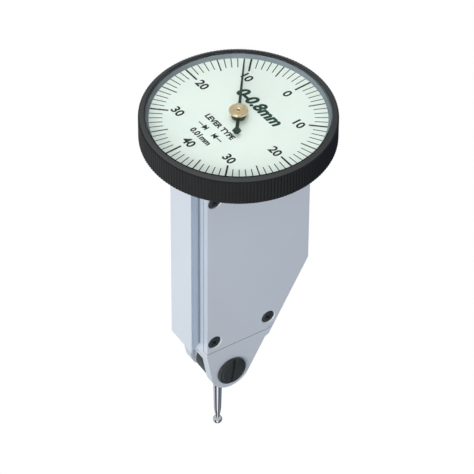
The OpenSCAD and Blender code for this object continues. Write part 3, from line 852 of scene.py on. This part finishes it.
@dataclass(frozen=True)
class Bezel:
    """The knurled ring that turns the dial, with its inner ring, seal and crystal.

    Heights are above the dial's printed face. The shoulder's points lie inwards from the outer
    radius and above the side's top, and the lip's lie outwards from its bore and below the top.
    """

    outer_r: float = 20.3
    bottom: float = -4.9
    side_top: float = 1.1
    top: float = 1.55
    lip_r: float = 19.0
    lip_h: float = 0.3
    bore_r: float = 19.3
    skirt_r: float = 18.3
    ledge_r: float = 17.4
    ledge: float = -0.4
    ledge_h: float = 1.2
    chamfer: float = 0.4
    shoulder: tuple[Point, ...] = ((0.0, -0.12), (0.3, 0.06), (0.42, 0.14))
    lip: tuple[Point, ...] = ((0.2, 0.01), (0.06, 0.01), (0.0, 0.07))
    ribs: int = 180
    rib_shape: tuple[float, ...] = (0.0, 0.15, 0.75, 1.0, 0.75, 0.15)
    rib_depth: float = 0.13
    dial_r: float = 18.1
    ring_r: float = 19.25
    ring_top_r: float = 18.8
    ring_h: float = 0.8
    ring_edge: float = 0.04
    ring_steps: int = 180
    seal_steps: int = 120
    glass_rim_r: float = 19.1
    glass_edge_r: float = 18.9
    glass_inner_r: float = 18.7
    glass_t: float = 0.5
    glass_rise: float = 1.45
    glass_inner_h: float = 1.15
    glass_arc_steps: int = 14
    glass_steps: int = 144

    def lip_under(self) -> float:
        """Height of the lip's underside."""
        return self.top - self.lip_h

    def knurled_ring(self) -> Mesh:
        """Makes the ring with straight ribs around its side.

        Returns:
            The ring's mesh.
        """
        profile = [
            (self.skirt_r, self.bottom), (self.outer_r - self.chamfer, self.bottom),
            (self.outer_r, self.bottom + self.chamfer),
            *((self.outer_r - inward, self.side_top + up) for inward, up in self.shoulder),
            *((self.lip_r + outward, self.top - down) for outward, down in self.lip),
            (self.lip_r, self.lip_under()), (self.bore_r, self.lip_under()),
            (self.bore_r, self.ledge), (self.ledge_r, self.ledge),
            (self.ledge_r, self.ledge - self.ledge_h), (self.skirt_r, self.ledge - self.ledge_h),
        ]
        bm = turned(profile, self.ribs * len(self.rib_shape))
        centre = Vector(DIAL_AXIS) * MM
        for vert in bm.verts:
            out = vert.co.to_2d() - centre
            if out.length > (self.outer_r - NEAR) * MM:
                turn = math.atan2(out.y, out.x) % FULL_TURN / FULL_TURN * self.ribs
                step = round(turn % 1.0 * len(self.rib_shape)) % len(self.rib_shape)
                out.length = (self.outer_r - self.rib_depth * self.rib_shape[step]) * MM
                vert.co.x, vert.co.y = centre.x + out.x, centre.y + out.y
        return bm

    def crystal(self) -> Mesh:
        """Makes the domed crystal: a rim under the lip, and a shell of even thickness.

        Returns:
            The crystal's mesh.
        """
        inner = (self.glass_inner_r**2 + self.glass_rise**2) / (2 * self.glass_rise)
        centre = self.glass_inner_h + self.glass_rise - inner
        arcs = []
        for sphere, reach in ((inner, self.glass_inner_r), (inner + self.glass_t, self.glass_edge_r)):
            points = [reach * k / self.glass_arc_steps for k in range(self.glass_arc_steps + 1)]
            arcs.append([(r, centre + math.sqrt(sphere**2 - r**2)) for r in points])
        rim = [
            (self.glass_inner_r, self.ring_h), (self.glass_rim_r, self.ring_h),
            (self.glass_rim_r, self.lip_under()), (self.glass_edge_r, self.lip_under()),
        ]
        return turned(arcs[0] + rim + arcs[1][::-1], self.glass_steps, closed=False)

    def build(self, shop: Workshop) -> None:
        """Builds the pieces that turn with the bezel, other than the dial."""
        knurled = self.knurled_ring()
        shop.piece("bezel_knurled", knurled, Part.BEZEL, Slot.BLACK_ANODISED, ["bezel_ring"], even=False)
        outer, top = self.ring_r, self.ring_h
        slope = [(self.dial_r, 0.0), (outer, 0.0), (outer, top), (self.ring_top_r, top)]
        sloped = turned(slope, self.ring_steps)
        round_edges(sloped, self.ring_edge)
        shop.piece("inner_ring", sloped, Part.BEZEL, Slot.GREY_RING, ["dial_ring"])
        profile = [
            (self.glass_rim_r, self.ring_h), (self.bore_r, self.ring_h),
            (self.bore_r, self.lip_under()), (self.glass_rim_r, self.lip_under()),
        ]
        seal = turned(profile, self.seal_steps)
        shop.piece("crystal_seal", seal, Part.BEZEL, Slot.RUBBER, ["crystal_gasket"])
        shop.piece("domed_crystal", self.crystal(), Part.BEZEL, Slot.LENS, ["crystal"], even=False)


@dataclass(frozen=True)
class Dial:
    """The enamelled dial with its marks, figures and legends.

    A kind of mark is its inner radius and its width. A bar of an arrow is its distance from the
    middle, its length and its width, and an arrow's head is its distance and its radius.
    """

    plate_r: float = 19.25
    plate_t: float = 0.4
    hole_r: float = 1.0
    zero_angle: float = 4.24
    divisions: int = 80
    mark_outer: float = 18.1
    major: Point = (14.28, 0.40)
    middle: Point = (14.6, 0.28)
    minor: Point = (15.35, 0.20)
    scale: tuple[int, ...] = (0, 10, 20, 30, 40, 30, 20, 10)
    figure_r: float = 12.35
    figure_h: float = 2.1
    ink_t: float = 0.024
    plate_steps: int = 180
    range_at: float = 5.4
    range_h: float = 2.9
    range_shear: float = 0.25
    word_at: float = -4.6
    word_h: float = 1.35
    arrows_at: float = -7.1
    arrow_bars: tuple[Triple, ...] = ((3.05, 1.5, 0.24), (1.15, 0.26, 1.3))
    arrow_head: Point = (1.75, 0.82)
    unit_at: float = -9.4
    unit_h: float = 1.45
    figure_weight: float = 0.03
    legend_weight: float = 0.045

    def place(self, along: float, across: float = 0.0) -> Matrix:
        """Place of a legend that reads across the dial, as a matrix in metres.

        Args:
            along: Distance from the centre towards the zero mark, in millimetres.
            across: Distance to the right of the centre line, in millimetres.

        Returns:
            The matrix, with X along the reading direction and Z up.
        """
        up = math.radians(self.zero_angle)
        x = DIAL_AXIS[0] + along * math.cos(up) + across * math.sin(up)
        y = DIAL_AXIS[1] + along * math.sin(up) - across * math.cos(up)
        return Matrix.Translation((x * MM, y * MM, DIAL_Z * MM)) @ Matrix.Rotation(up - math.pi / 2, 4, "Z")

    def marks(self) -> Mesh:
        """Makes the marks around the edge: long, middle and short ones.

        Returns:
            The marks' mesh.
        """
        bm = bmesh.new()
        for k in range(self.divisions):
            inner, width = self.major if k % 10 == 0 else self.middle if k % 5 == 0 else self.minor
            turn = Matrix.Rotation(math.radians(self.zero_angle) - FULL_TURN * k / self.divisions, 4, "Z")
            out = Matrix.Translation(((inner + self.mark_outer) / 2 * MM, 0.0, 0.0))
            centre = Matrix.Translation((DIAL_AXIS[0] * MM, DIAL_AXIS[1] * MM, DIAL_Z * MM))
            block(bm, (self.mark_outer - inner, width, self.ink_t), centre @ turn @ out)
        return bm

    def legend(
        self, bm: Mesh, words: str, height: float, place: Matrix, weight: float, shear: float = 0.0
    ) -> None:
        """Adds printed letters to a mesh.

        Args:
            bm: The mesh that they are added to.
            words: The letters.
            height: Their height in millimetres.
            place: Where they go.
            weight: Extra thickness of the strokes.
            shear: Slant of the letters.
        """
        mesh = lettering(words, height, weight, shear)
        mesh.transform(place @ Matrix.Diagonal((1.0, 1.0, self.ink_t * MM, 1.0)))
        bm.from_mesh(mesh)
        bpy.data.meshes.remove(mesh)

    def figures(self) -> Mesh:
        """Makes the balanced figures, which all read the same way up.

        Returns:
            The figures' mesh.
        """
        bm = bmesh.new()
        for k, figure in enumerate(self.scale):
            turn = FULL_TURN * k / len(self.scale)
            place = self.place(self.figure_r * math.cos(turn), self.figure_r * math.sin(turn))
            self.legend(bm, str(figure), self.figure_h, place, self.figure_weight)
        bmesh.ops.remove_doubles(bm, verts=bm.verts, dist=WELD)
        return bm

    def arrow(self, bm: Mesh, side: int) -> None:
        """Adds one of the two arrows that face each other across a gap.

        Args:
            bm: The mesh that it is added to.
            side: -1 for the left arrow and 1 for the right one.
        """
        for distance, length, width in self.arrow_bars:
            block(bm, (length, width, self.ink_t), self.place(self.arrows_at, side * distance))
        distance, radius = self.arrow_head
        turn = Matrix.Rotation(side * math.pi / 2, 4, "Z")
        bmesh.ops.create_cone(
            bm, cap_ends=True, cap_tris=False, segments=3, radius1=radius * MM, radius2=radius * MM,
            depth=self.ink_t * MM, matrix=self.place(self.arrows_at, side * distance) @ turn,
        )

    def build(self, shop: Workshop) -> None:
        """Builds the dial's plate and its printing."""
        low, inner, outer = -self.plate_t, self.hole_r, self.plate_r
        plate = turned([(inner, low), (outer, low), (outer, 0.0), (inner, 0.0)], self.plate_steps)
        shop.piece("dial_enamelled", plate, Part.BEZEL, Slot.DIAL_FACE, ["dial_plate"])
        small = bmesh.new()
        self.legend(small, "LEVER TYPE", self.word_h, self.place(self.word_at), self.legend_weight)
        self.legend(small, "0.01mm", self.unit_h, self.place(self.unit_at), self.legend_weight)
        self.arrow(small, -1)
        self.arrow(small, 1)
        large = bmesh.new()
        where = self.place(self.range_at)
        self.legend(large, "0-0.8mm", self.range_h, where, self.legend_weight, self.range_shear)
        for name, bm, ink in (
            ("dial_marks", self.marks(), Ink.BLACK), ("dial_figures", self.figures(), Ink.BLACK),
            ("dial_legends", small, Ink.BLACK), ("dial_range", large, Ink.GREEN),
        ):
            shop.piece(name, bm, Part.BEZEL, Slot.DIAL_FACE, ink=ink, even=False)


@dataclass(frozen=True)
class PointerGroup:
    """The needle with its black boss and turned brass hub.

    The outlines of boss and hub are given by radii and heights above the dial.
    """

    needle_edge: float = 0.035
    boss: tuple[Point, ...] = ((0.3, 0.3), (1.45, 0.3), (1.45, 0.95), (0.3, 0.95))
    boss_steps: int = 64
    boss_edge: float = 0.08
    hub: tuple[Point, ...] = (
        (0.3, 1.1), (1.3, 1.1), (1.3, 1.65), (1.85, 1.68), (1.95, 1.78), (1.95, 2.18), (1.83, 2.3),
        (1.0, 2.3), (0.95, 2.25), (0.62, 2.25), (0.6, 2.3), (0.48, 2.3), (0.42, 2.25), (0.3, 2.0),
    )
    hub_steps: int = 72
    hub_edge: float = 0.025

    def build(self, shop: Workshop) -> None:
        """Builds the pieces of the pointer."""
        shop.rounded_copy(
            "needle", "pointer", Part.POINTER, Slot.POINTER_GREEN, self.needle_edge, least=40.0
        )
        boss = turned(self.boss, self.boss_steps)
        round_edges(boss, self.boss_edge)
        shop.piece("needle_boss", boss, Part.POINTER, Slot.BLACK_OXIDE, ["pointer_boss"])
        hub = turned(self.hub, self.hub_steps)
        round_edges(hub, self.hub_edge, segments=1, least=35.0)
        shop.piece("needle_hub", hub, Part.POINTER, Slot.BRASS, ["pointer_hub"])


@dataclass(frozen=True)
class Stylus:
    """The swivelling drum with the polished shank and the contact ball.

    Heights are above the centre of the ball.
    """

    axis: Point = (9.0, 0.0)
    ball_z: float = -54.5
    ball_r: float = 1.0
    neck_r: float = 0.5
    drum_edge: float = 0.22
    thread_r: float = 0.7
    thread_top: float = 17.0
    thread_edge: float = 0.08
    shank: tuple[Point, ...] = (
        (0.94, 15.45), (1.0, 15.38), (1.0, 14.6), (0.98, 14.2), (0.9, 9.6), (0.82, 5.6), (0.78, 3.6),
        (0.74, 3.1), (0.64, 2.35), (0.55, 1.75), (0.5, 1.4),
    )
    steps: int = 64
    ball_steps: int = 32

    def build(self, shop: Workshop) -> None:
        """Builds the pieces of the stylus."""
        shop.rounded_copy(
            "stylus_drum", "stylus_holder", Part.STYLUS, Slot.BLACK_OXIDE, self.drum_edge,
            segments=3, least=28.0,
        )
        flat = math.sqrt(self.ball_r**2 - self.neck_r**2)
        top, side, edge = self.thread_top, self.thread_r, self.thread_edge
        thread = [(0.0, top), (side - edge, top), (side, top - edge), (side, self.shank[0][1])]
        profile = [*thread, *self.shank, (self.neck_r, flat), (0.0, flat)]
        rod = turned(profile, self.steps, False, self.axis, self.ball_z)
        shop.piece("stylus_rod", rod, Part.STYLUS, Slot.BRIGHT_CHROME, ["stylus_shank"], even=False)
        start = math.asin(self.neck_r / self.ball_r)
        turns = [start + (math.pi - start) * k / self.ball_steps for k in range(self.ball_steps + 1)]
        arc = [(self.ball_r * math.sin(a), self.ball_r * math.cos(a)) for a in turns]
        ball = turned([(0.0, flat), *arc], self.steps, False, self.axis, self.ball_z)
        shop.piece("contact_ball", ball, Part.STYLUS, Slot.BRIGHT_CHROME, ["stylus_ball"], even=False)


# ---------- Studio ----------


def bare_material(name: str) -> Material:
    """A new material with an empty node tree."""
    material = bpy.data.materials.new(name)
    material.use_nodes = True
    material.node_tree.nodes.clear()
    return material


def sheet(name: str, width: float, height: float, place: Matrix, material: Material) -> Object:
    """Makes a flat sheet that belongs to the studio.

    Args:
        name: Name of the sheet.
        width: Its width in metres.
        height: Its height in metres.
        place: Where it goes, with Z as its normal.
        material: Its material.

    Returns:
        The new object.
    """
    bm = bmesh.new()
    bmesh.ops.create_grid(bm, x_segments=1, y_segments=1, size=0.5)
    bm.transform(place @ Matrix.Diagonal((width, height, 1.0, 1.0)))
    mesh = bpy.data.meshes.new(name)
    bm.to_mesh(mesh)
    bm.free()
    mesh.materials.append(material)
    made = bpy.data.objects.new(name, mesh)
    bpy.context.scene.collection.objects.link(made)
    return made


@dataclass(frozen=True)
class Lamp:
    """A soft area light that faces a point and doesn't show in reflections."""

    name: str
    at: Triple
    width: float
    height: float
    power: float
    colour: Colour

    def build(self, target: Vector) -> None:
        """Places the light so that it faces the target."""
        data = bpy.data.lights.new(self.name, "AREA")
        data.shape, data.size, data.size_y = "RECTANGLE", self.width, self.height
        data.energy, data.color = self.power, self.colour
        lamp = bpy.data.objects.new(self.name, data)
        lamp.visible_glossy = False
        lamp.matrix_world = Matrix.Translation(self.at) @ facing(target - Vector(self.at))
        bpy.context.scene.collection.objects.link(lamp)


@dataclass(frozen=True)
class Card:
    """A plain card that shows only in reflections, given by its direction from the stylus."""

    name: str
    azimuth: float
    distance: float
    width: float
    height: float
    glow: Colour

    def build(self, centre: Vector, drop: float) -> None:
        """Makes the card.

        Args:
            centre: The point that it faces.
            drop: Angle below level of the direction to it, in degrees.
        """
        a, d = math.radians(self.azimuth), math.radians(drop)
        way = Vector((math.cos(a) * math.cos(d), math.sin(a) * math.cos(d), -math.sin(d)))
        material = bare_material(self.name)
        glow = add_node(material.node_tree, "ShaderNodeEmission", {"Color": self.glow}).outputs[0]
        add_node(material.node_tree, "ShaderNodeOutputMaterial", {"Surface": glow})
        place = Matrix.Translation(centre + way * self.distance) @ facing(way)
        card = sheet(self.name, self.width, self.height, place, material)
        card.visible_camera = card.visible_shadow = card.visible_diffuse = False


@dataclass(frozen=True)
class Studio:
    """The pale floor, the soft light and the camera."""

    floor_z: float = -0.19
    floor_side: float = 6.0
    bright_way: Point = (-0.95, -0.3)
    bright: Colour = (0.68, 0.71, 0.74)
    dim: Colour = (0.10, 0.13, 0.19)
    spread: float = 0.15
    sky: Colour = (0.98, 1.0, 1.0)
    sky_strength: float = 0.54
    camera_at: Triple = (-0.28389, -0.46677, 0.52987)
    azimuth: float = -32.516
    elevation: float = 43.86
    roll: float = 0.431
    lens: float = 280.4
    sensor: float = 36.0
    lamps: tuple[Lamp, ...] = (
        Lamp("key_left", (-1.0, -0.6, 0.3), 0.6, 0.6, 15.4, (1.0, 0.995, 0.98)),
        Lamp("top", (-0.05, 0.1, 1.1), 0.5, 0.5, 2.0, (1.0, 1.0, 1.0)),
        Lamp("fill_back", (0.8, 1.0, -0.02), 0.7, 0.3, 6.0, (0.98, 0.99, 1.0)),
    )
    cards: tuple[Card, ...] = (
        Card("card_left", 185.0, 0.05, 0.030, 0.075, (0.03, 0.03, 0.032)),
        Card("card_front", 279.0, 0.05, 0.022, 0.075, (0.06, 0.06, 0.062)),
        Card("card_bright", 232.0, 0.055, 0.022, 0.05, (0.95, 0.95, 1.0)),
    )
    lit_point: Triple = (0.014, 0.0, 0.0)
    stylus_middle: Triple = (0.009, 0.0, -0.051)

    def floor(self) -> None:
        """Makes the white floor, whose reflected brightness falls off towards the front."""
        material = bare_material("floor_white")
        tree = material.node_tree
        place = add_node(tree, "ShaderNodeTexCoord").outputs["Object"]
        values = {0: place, 1: (*self.bright_way, 0.0)}
        along = add_node(tree, "ShaderNodeVectorMath", values, operation="DOT_PRODUCT").outputs["Value"]
        values = {"Value": along, "From Min": -self.spread, "From Max": self.spread}
        share = add_node(tree, "ShaderNodeMapRange", values, interpolation_type="SMOOTHSTEP").outputs[0]
        values = {0: share, 6: self.dim, 7: self.bright}
        tones = add_node(tree, "ShaderNodeMix", values, data_type="RGBA").outputs[2]
        glow = add_node(tree, "ShaderNodeEmission", {"Color": tones}).outputs[0]
        white = add_node(tree, "ShaderNodeEmission", {"Color": (1.0, 1.0, 1.0)}).outputs[0]
        seen = add_node(tree, "ShaderNodeLightPath").outputs["Is Camera Ray"]
        both = add_node(tree, "ShaderNodeMixShader", {0: seen, 1: glow, 2: white}).outputs[0]
        add_node(tree, "ShaderNodeOutputMaterial", {"Surface": both})
        place = Matrix.Translation((0.0, 0.0, self.floor_z))
        sheet("floor", self.floor_side, self.floor_side, place, material)

    def world(self) -> None:
        """Makes the pale surroundings."""
        world = bpy.data.worlds.new("studio")
        world.use_nodes = True
        ground = world.node_tree.nodes["Background"]
        ground.inputs["Color"].default_value = (*self.sky, 1.0)
        ground.inputs["Strength"].default_value = self.sky_strength
        bpy.context.scene.world = world

    def camera(self) -> None:
        """Places the camera."""
        a, e, r = (math.radians(v) for v in (self.azimuth, self.elevation, self.roll))
        back = Vector((math.sin(a) * math.cos(e), -math.cos(a) * math.cos(e), math.sin(e)))
        right = Vector((math.cos(a), math.sin(a), 0.0))
        up = back.cross(right)
        right, up = math.cos(r) * right + math.sin(r) * up, math.cos(r) * up - math.sin(r) * right
        turn = Matrix((right, up, back)).transposed().to_4x4()
        data = bpy.data.cameras.new("camera")
        data.lens, data.sensor_width, data.clip_start, data.clip_end = self.lens, self.sensor, 0.02, 20.0
        camera = bpy.data.objects.new("camera", data)
        camera.matrix_world = Matrix.Translation(self.camera_at) @ turn
        bpy.context.scene.collection.objects.link(camera)
        bpy.context.scene.camera = camera

    def build(self) -> None:
        """Builds the studio."""
        bpy.context.scene.view_settings.view_transform = "Standard"
        self.floor()
        self.world()
        self.camera()
        for lamp in self.lamps:
            lamp.build(Vector(self.lit_point))
        for card in self.cards:
            card.build(Vector(self.stylus_middle), self.elevation)


KEPT_NODES = (
    "head_plate", "head_screws", "bezel_o_ring", "snap_wire", "rear_movement_plate", "front_movement_plate",
    "movement_pillars", "movement_screws", "frame_screws", "arbor_bridge", "bridge_screws", "sector_jewels",
    "crown_jewels", "arbor_jewels", "hairspring", "hairspring_stud", "centre_pinion", "hairspring_collet",
    "crown_wheel", "crown_pinion", "crown_shaft", "sector_gear", "sector_shaft", "lever_arm", "lever_axle",
    "lever_pin", "clutch_washers",
)


def main() -> None:
    """Builds the finishes, the sub-assemblies and the studio, in that order."""
    logging.basicConfig(level=logging.INFO, format="%(name)s: %(message)s")
    effects = make_effects()
    materials = {finish.slot.value: finish.build(effects) for finish in FINISHES}
    slots = {row["node"]: row["material_slot"] for row in frame["record"]["subparts"]}
    shop = Workshop(frame["nodes"], materials, slots)
    shop.dress(KEPT_NODES)
    shop.dress(("centre_arbor",), Slot.BLACK_OXIDE)  # its end shows dark in the hub's eye
    BodyCasting().build(shop)
    Bezel().build(shop)
    Dial().build(shop)
    PointerGroup().build(shop)
    Stylus().build(shop)
    Studio().build()


if __name__ == "__main__":
    main()
